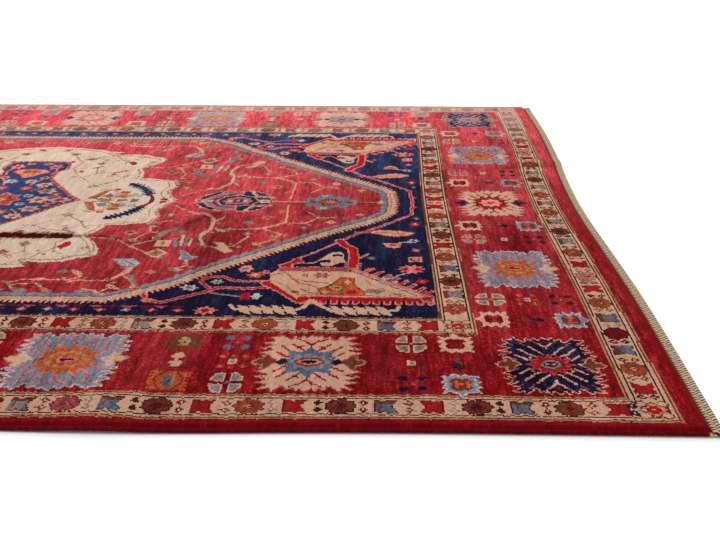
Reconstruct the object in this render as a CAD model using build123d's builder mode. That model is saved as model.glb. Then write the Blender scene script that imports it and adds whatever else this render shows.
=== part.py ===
# Hand-knotted area rug, lying flat.
#
# A woven cotton foundation carries blocks of knotted wool pile, one block for each zone of the
# design. Each long side is closed by a selvedge, a bundle of warps overcast with wool. Each short
# end is closed by a narrow plain-woven web and a plait of the gathered warp ends.
#
# Frame: origin at the centre of the underside, X along the warps (the length), Y across (the
# width), Z up. "near" is the -Y side, "far" the +Y side, "left" the -X end, "right" the +X end.
# All sizes are in millimetres.

from build123d import *
import os

# ---------------------------------------------------------------- driving dimensions
LENGTH = 2430.0                 # over the plaited ends
WIDTH = 1688.0                  # over the selvedges

FOUNDATION_THICKNESS = 3.0      # warps and wefts beaten together
PILE_HEIGHT = 7.0               # shorn wool above the foundation
PILE_RIM_RADIUS = 3.0           # the pile leans out and rounds over at the edge of the rug

SELVEDGE_DIAMETER = 6.0         # over the overcasting
OVERCAST_THICKNESS = 1.2        # wool wound round the selvedge warps
SELVEDGE_OUTER_FLAT = 0.8       # what its rounded outer side leaves upright
SELVEDGE_INNER_RADIUS = 1.0     # it is almost square where it meets the pile

KILIM_WIDTH = 4.0               # plain weave between the pile and the plait
PLAIT_WIDTH = 16.0              # herringbone plait of warp ends
PLAIT_THICKNESS = 6.5
PLAIT_TOP_RADIUS = 3.0
PLAIT_FOOT_RADIUS = 1.0

GUARD_SIDE = 12.0               # plain guard band along the long sides, beside the selvedge
GUARD_END = 29.0                # the same band across the ends
OUTER_BORDER = 58.0             # outer minor border
MAIN_BORDER = 175.0             # main border
INNER_BORDER = 56.0             # inner minor border

SIDE_BAND = 47.0                # dark ground left beside the six-sided field
END_BAND = 56.0                 # dark ground left beyond the field's blunt tips
SPANDREL_LENGTH = 512.0         # a corner piece, measured along the long side
FIELD_TIP = 100.0               # width of the field's blunt tip

MEDALLION_LENGTH = 728.0        # tip to tip
MEDALLION_FLAT = 340.0          # its straight sides
MEDALLION_CLEARANCE = 94.0      # field left between those sides and the field's edge
CENTRE_LENGTH = 330.0           # dark centre of the medallion, tip to tip
CENTRE_FLAT = 138.0
CENTRE_CLEARANCE = 132.0        # pale ground left between the centre and the medallion's sides

# ---------------------------------------------------------------- places worked out from them
pile_foot = FOUNDATION_THICKNESS
pile_half_length = LENGTH / 2 - PLAIT_WIDTH - KILIM_WIDTH
pile_half_width = WIDTH / 2 - SELVEDGE_DIAMETER

# Half-length and half-width of the rectangle inside each border, from the outside in.
guard_inner = (pile_half_length - GUARD_END, pile_half_width - GUARD_SIDE)
outer_inner = (guard_inner[0] - OUTER_BORDER, guard_inner[1] - OUTER_BORDER)
main_inner = (outer_inner[0] - MAIN_BORDER, outer_inner[1] - MAIN_BORDER)
ground = (main_inner[0] - INNER_BORDER, main_inner[1] - INNER_BORDER)

field_tip_x = ground[0] - END_BAND
field_side_y = ground[1] - SIDE_BAND
field_flat_x = ground[0] - SPANDREL_LENGTH
medallion_side_y = field_side_y - MEDALLION_CLEARANCE
centre_side_y = medallion_side_y - CENTRE_CLEARANCE

os.makedirs("parts", exist_ok=True)


def save(piece, label):
    """Labels one finished piece and writes it to its own file."""
    piece.part.label = label
    export_step(piece.part, f"parts/{label}.step")
    print(f"{label}: {len(piece.part.solids())} solid, {piece.part.volume / 1000:.1f} cm3")


# ---------------------------------------------------------------- foundation
# Warps run along X and wefts along Y. They are beaten so tight that they make one flat web.
with BuildPart() as foundation:
    with BuildSketch(Plane.XY):
        Rectangle(2 * pile_half_length, 2 * pile_half_width)
    extrude(amount=FOUNDATION_THICKNESS)
save(foundation, "foundation")


# ---------------------------------------------------------------- pile of the borders
# Every border is four straight blocks. The two along the sides run the full length and hold the
# corners, and the two across the ends fit between them.
def border(name, outside, inside, rim):
    """Knots one border between two rectangles, and rounds its outer top edge when it is the rim."""
    side_width = outside[1] - inside[1]
    end_width = outside[0] - inside[0]
    side_y = (outside[1] + inside[1]) / 2
    end_x = (outside[0] + inside[0]) / 2
    blocks = {
        "near": (0, -side_y, 2 * outside[0], side_width),
        "far": (0, side_y, 2 * outside[0], side_width),
        "left": (-end_x, 0, end_width, 2 * inside[1]),
        "right": (end_x, 0, end_width, 2 * inside[1]),
    }
    outer_face = {"near": -outside[1], "far": outside[1], "left": -outside[0], "right": outside[0]}
    for side, (x, y, size_x, size_y) in blocks.items():
        across = Axis.Y if side in ("near", "far") else Axis.X
        with BuildPart() as block:
            with BuildSketch(Plane.XY.offset(pile_foot)):
                with Locations((x, y)):
                    Rectangle(size_x, size_y)
            extrude(amount=PILE_HEIGHT)
            if rim:
                top_edges = block.edges().group_by(Axis.Z)[-1].sort_by(across)
                at_rim = top_edges[-1] if outer_face[side] > 0 else top_edges[0]
                fillet(at_rim, PILE_RIM_RADIUS)
        save(block, f"pile_{name}_{side}")


border("guard_band", (pile_half_length, pile_half_width), guard_inner, rim=True)
border("outer_border", guard_inner, outer_inner, rim=False)
border("main_border", outer_inner, main_inner, rim=False)
border("inner_border", main_inner, ground, rim=False)


# ---------------------------------------------------------------- pile of the corners
# A corner piece fills the ground rectangle outside the six-sided field, in one quarter of the rug.
for y_name, y_sign in (("near", -1), ("far", 1)):
    for x_name, x_sign in (("left", -1), ("right", 1)):
        corner_outline = [
            (0, y_sign * field_side_y),
            (x_sign * field_flat_x, y_sign * field_side_y),
            (x_sign * field_tip_x, y_sign * FIELD_TIP / 2),
            (x_sign * field_tip_x, 0),
            (x_sign * ground[0], 0),
            (x_sign * ground[0], y_sign * ground[1]),
            (0, y_sign * ground[1]),
        ]
        with BuildPart() as corner:
            with BuildSketch(Plane.XY.offset(pile_foot)):
                with BuildLine():
                    Polyline(*corner_outline, close=True)
                make_face()
            extrude(amount=PILE_HEIGHT)
        save(corner, f"pile_spandrel_{y_name}_{x_name}")


# ---------------------------------------------------------------- pile of the field and medallion
def right_half(tip_x, flat_x, side_y, blunt_y=0.0):
    """Points of the right half of a six-sided outline whose tip may be blunt."""
    tip = [(tip_x, -blunt_y), (tip_x, blunt_y)] if blunt_y else [(tip_x, 0)]
    return [(0, -side_y), (flat_x, -side_y), *tip, (flat_x, side_y), (0, side_y)]


medallion_half = right_half(MEDALLION_LENGTH / 2, MEDALLION_FLAT / 2, medallion_side_y)
centre_half = right_half(CENTRE_LENGTH / 2, CENTRE_FLAT / 2, centre_side_y)
field_half = right_half(field_tip_x, field_flat_x, field_side_y, FIELD_TIP / 2)

# The field goes round the medallion in two halves that meet on the rug's cross centre line.
for x_name, x_sign in (("left", -1), ("right", 1)):
    with BuildPart() as field:
        with BuildSketch(Plane.XY.offset(pile_foot)):
            with BuildLine():
                Polyline(*[(x_sign * x, y) for x, y in field_half], close=True)
            make_face()
            with BuildLine():
                Polyline(*[(x_sign * x, y) for x, y in medallion_half], close=True)
            make_face(mode=Mode.SUBTRACT)
        extrude(amount=PILE_HEIGHT)
    save(field, f"pile_field_{x_name}")

# The pale medallion is a six-sided ring, and its dark centre fills it.
with BuildPart() as medallion:
    with BuildSketch(Plane.XY.offset(pile_foot)):
        with BuildLine():
            Polyline(*medallion_half, *[(-x, -y) for x, y in medallion_half[1:-1]], close=True)
        make_face()
        with BuildLine():
            Polyline(*centre_half, *[(-x, -y) for x, y in centre_half[1:-1]], close=True)
        make_face(mode=Mode.SUBTRACT)
    extrude(amount=PILE_HEIGHT)
save(medallion, "pile_medallion")

with BuildPart() as medallion_centre:
    with BuildSketch(Plane.XY.offset(pile_foot)):
        with BuildLine():
            Polyline(*centre_half, *[(-x, -y) for x, y in centre_half[1:-1]], close=True)
        make_face()
    extrude(amount=PILE_HEIGHT)
save(medallion_centre, "pile_medallion_centre")


# ---------------------------------------------------------------- selvedges
# The section's own X runs across the rug and its own Y upwards. Its almost square side lies
# against the foundation and the pile.
core_radius = SELVEDGE_DIAMETER / 2 - OVERCAST_THICKNESS
outer_radius = (SELVEDGE_DIAMETER - SELVEDGE_OUTER_FLAT) / 2
for side, y_sign in (("near", -1), ("far", 1)):
    section = Plane(
        origin=(-pile_half_length, y_sign * (WIDTH - SELVEDGE_DIAMETER) / 2, SELVEDGE_DIAMETER / 2),
        x_dir=(0, 1, 0),
        z_dir=(1, 0, 0),
    )
    with BuildPart() as overcasting:
        with BuildSketch(section) as overcast_section:
            Rectangle(SELVEDGE_DIAMETER, SELVEDGE_DIAMETER)
            sides = overcast_section.vertices().group_by(Axis.X)
            outer_corners = sides[-1] if y_sign > 0 else sides[0]
            inner_corners = sides[0] if y_sign > 0 else sides[-1]
            fillet(outer_corners, outer_radius)
            fillet(inner_corners, SELVEDGE_INNER_RADIUS)
            Circle(core_radius, mode=Mode.SUBTRACT)
        extrude(amount=2 * pile_half_length)
    save(overcasting, f"selvedge_overcasting_{side}")

    with BuildPart() as warp_bundle:
        with BuildSketch(section):
            Circle(core_radius)
        extrude(amount=2 * pile_half_length)
    save(warp_bundle, f"selvedge_warp_bundle_{side}")


# ---------------------------------------------------------------- ends
for end, x_sign in (("left", -1), ("right", 1)):
    with BuildPart() as kilim:
        with BuildSketch(Plane.XY):
            with Locations((x_sign * (pile_half_length + KILIM_WIDTH / 2), 0)):
                Rectangle(KILIM_WIDTH, WIDTH)
        extrude(amount=FOUNDATION_THICKNESS)
    save(kilim, f"kilim_end_{end}")

    plait_section = Plane(
        origin=(x_sign * (LENGTH - PLAIT_WIDTH) / 2, -WIDTH / 2, PLAIT_THICKNESS / 2),
        x_dir=(1, 0, 0),
        z_dir=(0, -1, 0),
    )
    with BuildPart() as plait:
        with BuildSketch(plait_section) as plait_outline:
            Rectangle(PLAIT_WIDTH, PLAIT_THICKNESS)
            foot_corners, top_corners = plait_outline.vertices().group_by(Axis.Y)
            fillet(top_corners, PLAIT_TOP_RADIUS)
            fillet(foot_corners, PLAIT_FOOT_RADIUS)
        extrude(amount=-WIDTH)
    save(plait, f"warp_end_plait_{end}")
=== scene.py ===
# %% [markdown]
# # A hand-knotted wool area rug
# A rug like this is a cotton web with tens of thousands of wool knots tied row by row on it.
# The knots are cut to one height, and the design is nothing but the colour of each knot.
# This lesson builds it the same way: a chart of the design is drawn first, as a weaver's cartoon
# is, and then every knot becomes one small face of the pile that takes its colour from the chart.

# %% Set up the frame
from math import radians

import bpy
import numpy as np
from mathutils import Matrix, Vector


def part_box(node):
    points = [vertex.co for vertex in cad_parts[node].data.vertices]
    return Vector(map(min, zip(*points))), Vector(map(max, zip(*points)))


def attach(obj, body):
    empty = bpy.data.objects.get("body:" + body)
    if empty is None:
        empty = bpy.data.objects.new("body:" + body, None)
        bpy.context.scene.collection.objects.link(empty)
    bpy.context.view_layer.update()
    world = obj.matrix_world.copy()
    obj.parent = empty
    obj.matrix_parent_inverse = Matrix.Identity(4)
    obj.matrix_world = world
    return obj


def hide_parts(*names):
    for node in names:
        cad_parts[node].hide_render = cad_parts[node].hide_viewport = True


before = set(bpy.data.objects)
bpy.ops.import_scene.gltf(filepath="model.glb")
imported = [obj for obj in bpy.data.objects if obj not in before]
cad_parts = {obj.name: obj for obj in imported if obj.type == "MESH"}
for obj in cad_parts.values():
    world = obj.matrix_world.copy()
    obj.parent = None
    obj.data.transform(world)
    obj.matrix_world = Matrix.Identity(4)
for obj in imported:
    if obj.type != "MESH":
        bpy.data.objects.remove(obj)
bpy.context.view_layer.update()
MM = 1000.0  # the chart and the surfaces are worked out in millimetres

# %% [markdown]
# ## The camera
# The rug runs off the frame at the left, and its right end and near corner are close to the
# lens. A camera a little over half a metre up, looking down at 23 degrees, gives the strong
# perspective of a rug seen from beside its near edge.

# %% Camera
camera_data = bpy.data.cameras.new("camera")
camera_data.lens = 47.6
camera_data.sensor_width = 36.0
camera_data.clip_end = 60.0
camera = bpy.data.objects.new("camera", camera_data)
camera.location = (0.786, -1.850, 0.653)
camera.rotation_euler = (radians(90 - 23.23), 0.0, radians(1.29))
bpy.context.scene.collection.objects.link(camera)
bpy.context.scene.camera = camera

# %% [markdown]
# ## Where the bands of the design lie
# A rug's design is a set of frames: a plain guard band, a cream minor border, the wide main
# border, a second minor border and the field. The CAD solids of the pile are cut along those
# frames, so their boxes give every line, and the chart always agrees with the solids.

# %% Read the frames from the CAD boxes
def box_mm(node):
    """The lowest and highest corners of a CAD node, in millimetres."""
    low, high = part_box(node)
    return np.array(low) * MM, np.array(high) * MM


BANDS = ("guard_band", "outer_border", "main_border", "inner_border")
GUARD_X, OUTER_X, MAIN_X, FIELD_X = [box_mm(f"pile_{band}_right")[0][0] for band in BANDS]
GUARD_Y, OUTER_Y, MAIN_Y, FIELD_Y = [box_mm(f"pile_{band}_far")[0][1] for band in BANDS]
pile_x = box_mm("pile_guard_band_right")[1][0]
pile_y = box_mm("pile_guard_band_far")[1][1]
pile_foot, pile_top = box_mm("pile_medallion")[0][2], box_mm("pile_medallion")[1][2]
print("pile", pile_x, pile_y, "field", FIELD_X, FIELD_Y)

# %% [markdown]
# ## The wools
# The yarns are dyed with a few plant dyes: madder for the reds and oranges, indigo for the
# blues, walnut for the browns and undyed or pale wool for the creams. A chart square holds the
# number of its yarn, as on graph paper, and the colour itself is looked up later.

# %% The dyed yarns
YARNS = {
    "red": (150, 6, 22), "wine": (92, 6, 14), "scarlet": (158, 16, 24), "rose": (158, 64, 66),
    "navy": (16, 14, 44), "blue": (78, 84, 100), "pale": (108, 105, 114), "grey": (112, 102, 98),
    "cream": (183, 141, 117), "ivory": (190, 166, 148), "peach": (178, 124, 100),
    "pink": (188, 108, 100), "orange": (160, 70, 34), "tan": (146, 106, 74), "brown": (90, 44, 28),
    "umber": (50, 20, 16), "olive": (122, 100, 70), "maroon": (98, 36, 32),
    "mist": (150, 144, 143), "indigo": (46, 56, 92), "rust": (126, 56, 32), "madder": (134, 18, 20),
}
INK = {name: i for i, name in enumerate(YARNS)}


def linear(rgb):
    """The linear colour of an sRGB one from 0 to 255: below 0.04045 a straight line, above it a power of 2.4."""
    c = np.asarray(rgb, float) / 255.0
    return np.where(c <= 0.04045, c / 12.92, ((c + 0.055) / 1.055) ** 2.4)


DYES = linear(list(YARNS.values()))

# %% [markdown]
# ## Drawing the chart
# The design repeats in all four quarters, so one quarter is drawn and then mirrored, which is
# also how a cartoon is made for the weaver. The pen knows how to fill a shape, draw a line of
# some width and place whole motifs, all in millimetres from the middle of the rug.

# %% A pen for the cartoon
CELL = 1.25  # mm, half a knot
chart = np.zeros((int(pile_x / CELL) + 8, int(pile_y / CELL) + 8), np.uint8)
chart_x = (np.arange(chart.shape[0]) + 0.5) * CELL
chart_y = (np.arange(chart.shape[1]) + 0.5) * CELL


def mirrored(points, mirror):
    """The shape and its copies: mirror "x" changes the sign of x, "y" of y, "xy" gives all four."""
    signs = [(1, 1), (-1, 1)] if "x" in mirror else [(1, 1)]
    if "y" in mirror:
        signs += [(sx, -1) for sx, _ in signs]
    return [np.asarray(points, float) * s for s in signs]


def whole(quarter):
    """A closed outline from its first quarter: the same points mirrored round the two axes."""
    q = np.asarray(quarter, float)
    half = np.vstack([q, q[::-1] * (-1, 1)])
    return np.vstack([half, half[::-1] * (1, -1)])


def run_distance(x, y, a, b):
    """The distance of each point to the run a-b: to its nearest point, which is clamped to the ends."""
    dx, dy = b - a
    t = np.clip(((x - a[0]) * dx + (y - a[1]) * dy) / max(dx * dx + dy * dy, 1e-9), 0, 1)
    return np.hypot(x - a[0] - t * dx, y - a[1] - t * dy)


class Pen:
    """Draws on the chart from a motif's own centre, which may be turned a quarter or flipped and scaled."""

    def __init__(self, x=0.0, y=0.0, turn=False, flip=(1, 1)):
        self.origin, self.turn, self.scale = np.array([x, y], float), turn, np.array(flip, float)

    def place(self, points):
        points = np.asarray(points, float) * self.scale
        return (points[:, ::-1] if self.turn else points) + self.origin

    def window(self, points, margin):
        low = np.clip((points.min(0) - margin) / CELL, 0, chart.shape).astype(int)
        high = np.clip((points.max(0) + margin) / CELL + 2, 0, chart.shape).astype(int)
        win = slice(low[0], high[0]), slice(low[1], high[1])
        return win, chart_x[win[0], None], chart_y[None, win[1]]

    def fill(self, ink, points, mirror=""):
        """A square is inside when a line from it to the left crosses the outline an odd number of times."""
        for shape in mirrored(points, mirror):
            ring = self.place(shape)
            win, x, y = self.window(ring, 0)
            inside = np.zeros((x.size, y.size), bool)
            for (x1, y1), (x2, y2) in zip(ring, np.roll(ring, -1, axis=0)):
                if y1 != y2:
                    inside ^= ((y1 > y) != (y2 > y)) & (x < x1 + (y - y1) * (x2 - x1) / (y2 - y1))
            chart[win][inside] = INK[ink]
        return self

    def line(self, ink, points, width=4.0, mirror="", closed=False):
        """A square is on the line when its distance to the nearest run is at most half the width."""
        for shape in mirrored(points, mirror):
            path = self.place(shape)
            path = np.vstack([path, path[:1]]) if closed else path
            win, x, y = self.window(path, width)
            near = np.full((x.size, y.size), np.inf)
            for a, b in zip(path[:-1], path[1:]):
                near = np.minimum(near, run_distance(x, y, a, b))
            chart[win][near <= width / 2] = INK[ink]
        return self

    def shape(self, ink, points, edge=None, width=3.0, mirror=""):
        self.fill(ink, points, mirror)
        return self.line(edge, points, width, mirror, closed=True) if edge else self

    def star(self, ink, x, y, rx, ry=None, tips=8, dent=0.72, edge=None, width=3.0, mirror=""):
        """A star or a rosette: 2·tips points on an oval, every second one drawn in by the dent."""
        a = np.arange(2 * tips) * np.pi / tips
        r = np.where(np.arange(2 * tips) % 2, dent, 1.0)
        points = np.stack([x + rx * r * np.cos(a), y + (ry or rx) * r * np.sin(a)], axis=1)
        return self.shape(ink, points, edge, width, mirror)

    def oval(self, ink, x, y, rx, ry=None, edge=None, width=3.0, mirror=""):
        return self.star(ink, x, y, rx, ry, 10, 1.0, edge, width, mirror)

    def diamond(self, ink, x, y, rx, ry=None, edge=None, width=3.0, mirror=""):
        return self.star(ink, x, y, rx, ry, 2, 1.0, edge, width, mirror)

    def bar(self, ink, x, y, rx, ry, edge=None, width=3.0, mirror=""):
        ring = [(x - rx, y - ry), (x + rx, y - ry), (x + rx, y + ry), (x - rx, y + ry)]
        return self.shape(ink, ring, edge, width, mirror)

    def comb(self, ink, path, reach=6.0, pitch=10.0, width=4.5, mirror=""):
        """A feathered line, as on serrated leaves: short teeth across the path, one each pitch along it."""
        path = np.asarray(path, float)
        for a, b in zip(path[:-1], path[1:]):
            along = b - a
            length = np.hypot(*along)
            side = np.array([-along[1], along[0]]) / length
            for s in np.arange(pitch / 2, length, pitch):
                foot = a + along * s / length
                self.line(ink, [foot - side * reach, foot + side * reach], width, mirror)
        return self


paper = Pen()

# %% [markdown]
# Long outlines are easier to read and to mend when they are written as plain words, the way a
# caller reads a design to the weavers. A stroke is one line: what to draw, its yarns, its sizes,
# its x,y pairs, and after a slash the axes it is mirrored over.

# %% Reading a list of strokes
def spots(text):
    """Points, each written as x,y, with spaces between."""
    return [tuple(float(v) for v in word.split(",")) for word in text.split()]


def paths(text):
    return [spots(part) for part in text.split(";")]


def draw(pen, strokes):
    """Words with a comma are points, names of yarns are inks, and other numbers are sizes, in the pen's order."""
    for stroke in strokes.strip().splitlines():
        kind, *words = stroke.split()
        (ink, *edge), points = [w for w in words if w in INK], spots(" ".join(w for w in words if "," in w))
        sizes = [float(w) for w in words if w not in INK and "," not in w and w[0] != "/"]
        mirror = words[-1][1:] if words[-1][0] == "/" else ""
        if kind == "fill":
            pen.fill(ink, points, mirror)
        elif kind in ("line", "comb"):
            {"line": pen.line, "comb": pen.comb}[kind](ink, points, *sizes, mirror=mirror)
        elif kind == "shape":
            pen.shape(ink, points, *edge, *sizes, mirror)
        else:
            motif = {"star": pen.star, "oval": pen.oval, "diamond": pen.diamond, "bar": pen.bar}[kind]
            own = 2 if kind == "star" else 0  # a star's tips and dent come before its edge
            motif(ink, *points[0], *points[1], *sizes[:own], *edge, *sizes[own:], mirror=mirror)


def flowers(tips, dent, text, share=0.45):
    """Small flowers: a place, half-sizes, a yarn and the yarn of the heart, which is a share as big."""
    for row in text.split(";"):
        place, size, ink, heart = row.split()
        (x, y), (rx, ry) = spots(f"{place} {size}")
        paper.star(ink, x, y, rx, ry, tips, dent).diamond(heart, x, y, rx * share, ry * share)


# %% [markdown]
# ### The frames
# Each border is edged by thin stripes of tan, brown, cream and umber, one or two knots
# wide. They are nested rectangles, painted from the outside in.

# %% Grounds and stripes of the borders
def rectangle(x, y, ink):
    chart[(chart_x[:, None] < x) & (chart_y[None, :] < y)] = INK[ink]


def minor_border(x_out, y_out, x_in, y_in):
    for inset, ink in ((0, "tan"), (2, "brown"), (5, "cream"), (8, "umber"), (11, "cream")):
        rectangle(x_out - inset, y_out - inset, ink)
    for inset, ink in ((11, "umber"), (8, "cream"), (5, "brown"), (2, "tan")):
        rectangle(x_in + inset, y_in + inset, ink)


chart[:] = INK["red"]
minor_border(GUARD_X, GUARD_Y, OUTER_X, OUTER_Y)
rectangle(OUTER_X, OUTER_Y, "red")
minor_border(MAIN_X, MAIN_Y, FIELD_X, FIELD_Y)
rectangle(FIELD_X, FIELD_Y, "navy")

# %% [markdown]
# ### The minor borders
# A rosette and a fishtail leaf take turns along both cream borders, with a pair of small
# diamonds between them. The weaver changes the colours as wool comes to hand, so each side's
# row is spelled out as letters, read from the corner inwards.

# %% Rosettes, leaves and diamonds of the minor borders
COLOURS = {
    "r": "madder", "R": "wine", "b": "blue", "g": "grey", "o": "rust", "u": "maroon",
    "n": "brown", "p": "pink", "s": "rose",
}


def rosette(pen, ink):
    pen.star(ink, 0, 0, 21, 19, 9, 0.84, "maroon" if ink == "rust" else "umber", 2.0)
    heart = {"rust": "maroon", "maroon": "umber", "wine": "umber", "brown": "maroon"}.get(ink, "brown")
    pen.star(heart, 0, 0, 16, 14, 9, 0.55).star(ink, 0, 0, 13, 11, 9, 0.66).star(heart, 0, 0, 9, 8, 9, 0.7)
    pen.star("peach" if ink in ("rust", "rose", "pink") else "wine", 0, 0, 6, 5, 4, 0.6)
    pen.oval("umber", 0, 0, 2.2)


def fishtail(pen, ink):
    """A leaf seen as a small fish: a block with a deep notch in its tail and shallow notches in its sides."""
    edge = "umber" if ink in ("blue", "grey") else "wine"
    ring = spots("-15,0 -15,15 -7,15 -3,10 1,15 15,15 7,0")
    pen.shape(ink, ring + [(x, -y) for x, y in ring[-2:0:-1]], edge, 1.5)
    pen.bar("brown" if ink in ("madder", "wine") else "scarlet", -8, 0, 1.5, 6)
    if edge == "umber":
        pen.fill("brown", spots("-15,-15 -15,-8 2,-7 10,-6 15,-15"))


def twins(pen, ink, crossed):
    for y in (-8.5, 8.5):
        if crossed:
            pen.star(ink, 0, y, 9, 8, 4, 0.5).oval("peach", 0, y, 2.6)
        else:
            pen.diamond(ink, 0, y, 6.5, 8).bar("cream", 0, y, 0.7, 2.5)


def minor_row(text, centre, turn, pitch, first):
    """Motifs from the corner inwards: - stands before a leaf's colour and * before a rosette's, with twins between."""
    words = text.split()
    for i, (kind, letter) in enumerate(words):
        along = pitch * (first + len(words) - 1 - i)
        at = (centre, along) if turn else (along, centre)
        pen = Pen(*at, turn=turn, flip=(1 if i % 4 else -1, 1))
        (rosette if kind == "*" else fishtail)(pen, COLOURS[letter])
        between = along - pitch / 2
        at = (centre, between) if turn else (between, centre)
        twins(Pen(*at, turn=turn), ("brown", "wine", "umber", "grey")[i % 4], crossed=i % 4 in (0, 3))


middle_y, middle_x = (GUARD_Y + OUTER_Y) / 2, (GUARD_X + OUTER_X) / 2
minor_row("-r *n -b *u -r -b *u -r *o -r *u -b *s -g *u -r *o -b *u", middle_y, False, 58.92, 0.5)
minor_row("-r *o -b *R -b *o -r *p -r *o -g *u -g *o -g", middle_x, True, 53.0, 0.0)
inner_y, inner_x = (MAIN_Y + FIELD_Y) / 2, (MAIN_X + FIELD_X) / 2
minor_row("-r -b *n -r *o -r *u -g *o -r *u -b *o -r *u", inner_y, False, 61.4, 0.0)
minor_row("*o -g *u -b *o -r *n -g *o -r", inner_x, True, 53.0, 0.5)
for x, y in ((middle_x, middle_y), (inner_x, inner_y)):
    draw(Pen(x, y), """
star tan 0,0 19,19 4 .75 brown 2.5
oval cream 14,14 7,7 brown 2 /xy
star cream 0,0 17,17 4 .55 tan 2
bar scarlet 0,0 5,10
bar scarlet 0,0 10,5
diamond peach 0,0 3,3""")
for x, y, turn in ((middle_x - 26, middle_y, False), (middle_x, middle_y - 32, True)):
    twins(Pen(x, y, turn=turn), "navy", False)
print("minor borders drawn:", int((chart == INK["cream"]).sum()), "cream squares")

# %% [markdown]
# ### The main border
# Large lobed medallions march round the main border. All have one outline, with notched lobes
# and a trefoil at each side, and three or four colourings. Hooked strokes radiate round a
# rayed heart. Between them stand small crosses, notched squares and buds.

# %% The lobed medallion of the main border
LOBES = whole(spots("""
42,0 54,9 60,20 75,27 60,31 56,36 74,40 60,46 54,50 72,56 58,60 54,64 66,74 50,73 48,80 38,68 30,64 27,76
18,70 14,79 8,71 0,80
"""))
TREFOIL = spots("40,0 50,14 62,20 70,18 68,9 77,8 84,0 77,-8 68,-9 70,-18 62,-20 50,-14")
HOOKS = paths("0,44 0,50 11,63; 28,52 8,29; 45,45 28,27 20,23; 50,27 34,12 29,20; 0,50 -11,63")


def medallion(pen, ground, outline, hooks, leaf, leaf_edge, strokes=(5.5, 4.2)):
    """The widths of the outline and of the hooked strokes come last."""
    pen.shape(leaf, TREFOIL, leaf_edge, 3.0, "x")
    pen.line(outline, LOBES, strokes[0], closed=True)
    pen.fill(ground, LOBES)
    ticks(pen, hooks, strokes[1], HOOKS)


def ticks(pen, ink, width, strokes):
    """Short strokes of one yarn and one width, mirrored over both axes."""
    for path in strokes:
        pen.line(ink, path, width, "xy")


def navy_medallion(x, y, width=1.0):
    pen = Pen(x, y, flip=(width, 1))
    medallion(pen, "navy", "peach", "peach", "brown", "pink", (4.0, 3.4))
    ticks(pen, "rose", 2.5, paths("57,36 66,41; 50,56 60,65; 14,64 22,72; 33,56 42,66; 50,12 60,20"))
    draw(pen, """
star scarlet 0,0 38,29 12 .66 rose 2
oval grey 0,0 18,13 umber 2
oval navy 0,0 12,7
bar cream 0,0 9,2.2
bar scarlet 0,0 3,1.5
oval wine 0,66 5,4 /y""")


def cream_medallion(x, y):
    pen = Pen(x, y)
    medallion(pen, "cream", "rose", "scarlet", "brown", "tan")
    ticks(pen, "wine", 3.0, paths("14,62 24,70; 58,36 66,40; 12,46 20,40"))
    draw(pen, """
star blue 0,0 47,43 8 .62 blue 4
star navy 41,0 9,10 4 .8 /x
star pale 0,0 33,26 8 .7
oval orange 0,0 21,11 wine 2
oval peach 0,0 16,7
oval navy 0,0 12,4""")


def blue_medallion(x, y, width=1.0):
    pen = Pen(x, y, flip=(width, 1))
    medallion(pen, "pale", "mist", "pink", "cream", "tan")
    ticks(pen, "rose", 1.5, [np.array(path) * 0.99 + (0, 3) for path in HOOKS])
    ticks(pen, "pink", 3.5, paths("14,62 24,70; 58,36 66,40; 56,56 64,66; 52,15 60,25; 38,54 48,64"))
    draw(pen, """
star orange 0,0 47,44 12 .7
star tan 0,0 32,27 12 .8
star orange 0,0 25,20 8 .8
bar umber 0,0 12,5 pink 3""")


def middle_medallion(x, y, width=1.0):
    pen = Pen(x, y, flip=(width, 1))
    medallion(pen, "cream", "rose", "brown", "navy", "scarlet")
    ticks(pen, "scarlet", 2.5, [np.array(path) * 1.03 for path in HOOKS[1:4]])
    draw(pen, """
star scarlet 0,0 42,43 12 .72 wine 2.5
star cream 0,0 27,25 8 .72
star pink 0,0 19,14 8 .8
oval wine 0,0 8,4""")


MEDALLION_X, MEDALLION_Y = 1020.5, 680.5
STEP_ALONG = 340.2
navy_medallion(MEDALLION_X + 4, MEDALLION_Y, 0.91)
cream_medallion(MEDALLION_X - STEP_ALONG, MEDALLION_Y)
blue_medallion(MEDALLION_X - 2 * STEP_ALONG, MEDALLION_Y)
middle_medallion(0, MEDALLION_Y)
blue_medallion(MEDALLION_X, MEDALLION_Y - STEP_ALONG, 0.9)
middle_medallion(MEDALLION_X, 0, 0.92)

# %% The small fillers between the medallions
def notched_square(pen, ground, inside, heart):
    """A toothed square ring with a point on top, round a darker middle and two small bars."""
    half = spots("0,34 6,24 14,20 25,24 19,14 26,9 19,1 26,-6 19,-12 25,-21 14,-19 8,-25 0,-20")
    edge = "cream" if ground == "cream" else "mist"
    pen.shape(ground, half + [(-x, y) for x, y in half[-2:0:-1]], edge, 2.5)
    pen.fill(inside, spots("-10,-14 10,-14 16,-7 11,1 16,10 9,17 -9,17 -16,10 -11,1 -16,-7"))
    pen.bar(heart, 7.5, 1, 2.2, 9, mirror="x").diamond(heart, 0, 1, 4.5)


def cross(pen, ink, edge):
    """Four quarter petals with the ground showing as a cross between them, and a dot in the middle."""
    pen.shape(ink, spots("5,5 22,5 20,16 12,24 5,25"), edge, 3.0, "xy").diamond("tan", 0, 0, 4)


def dots(pen, ink):
    pen.star(ink, 13, 14, 8, 8, 6, 0.8, mirror="xy").diamond("tan", 0, 0, 3.5)


def small_square(pen, petals):
    pen.star(petals, 16, 14, 6, 5, 4, 0.7, mirror="xy").bar(petals, 0, 17, 2.5, 4, mirror="y")
    pen.bar("cream", 0, 0, 6.5, 6.5).bar("grey", 0, 0, 3, 3)


def bud(pen, ink, stem):
    pen.star(ink, 0, 12, 9, 10, 4, 0.75).bar(ink, 0, 2, 4, 3).bar(stem, 0, -8, 2.5, 8).bar(stem, 0, -14, 7, 2)


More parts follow.
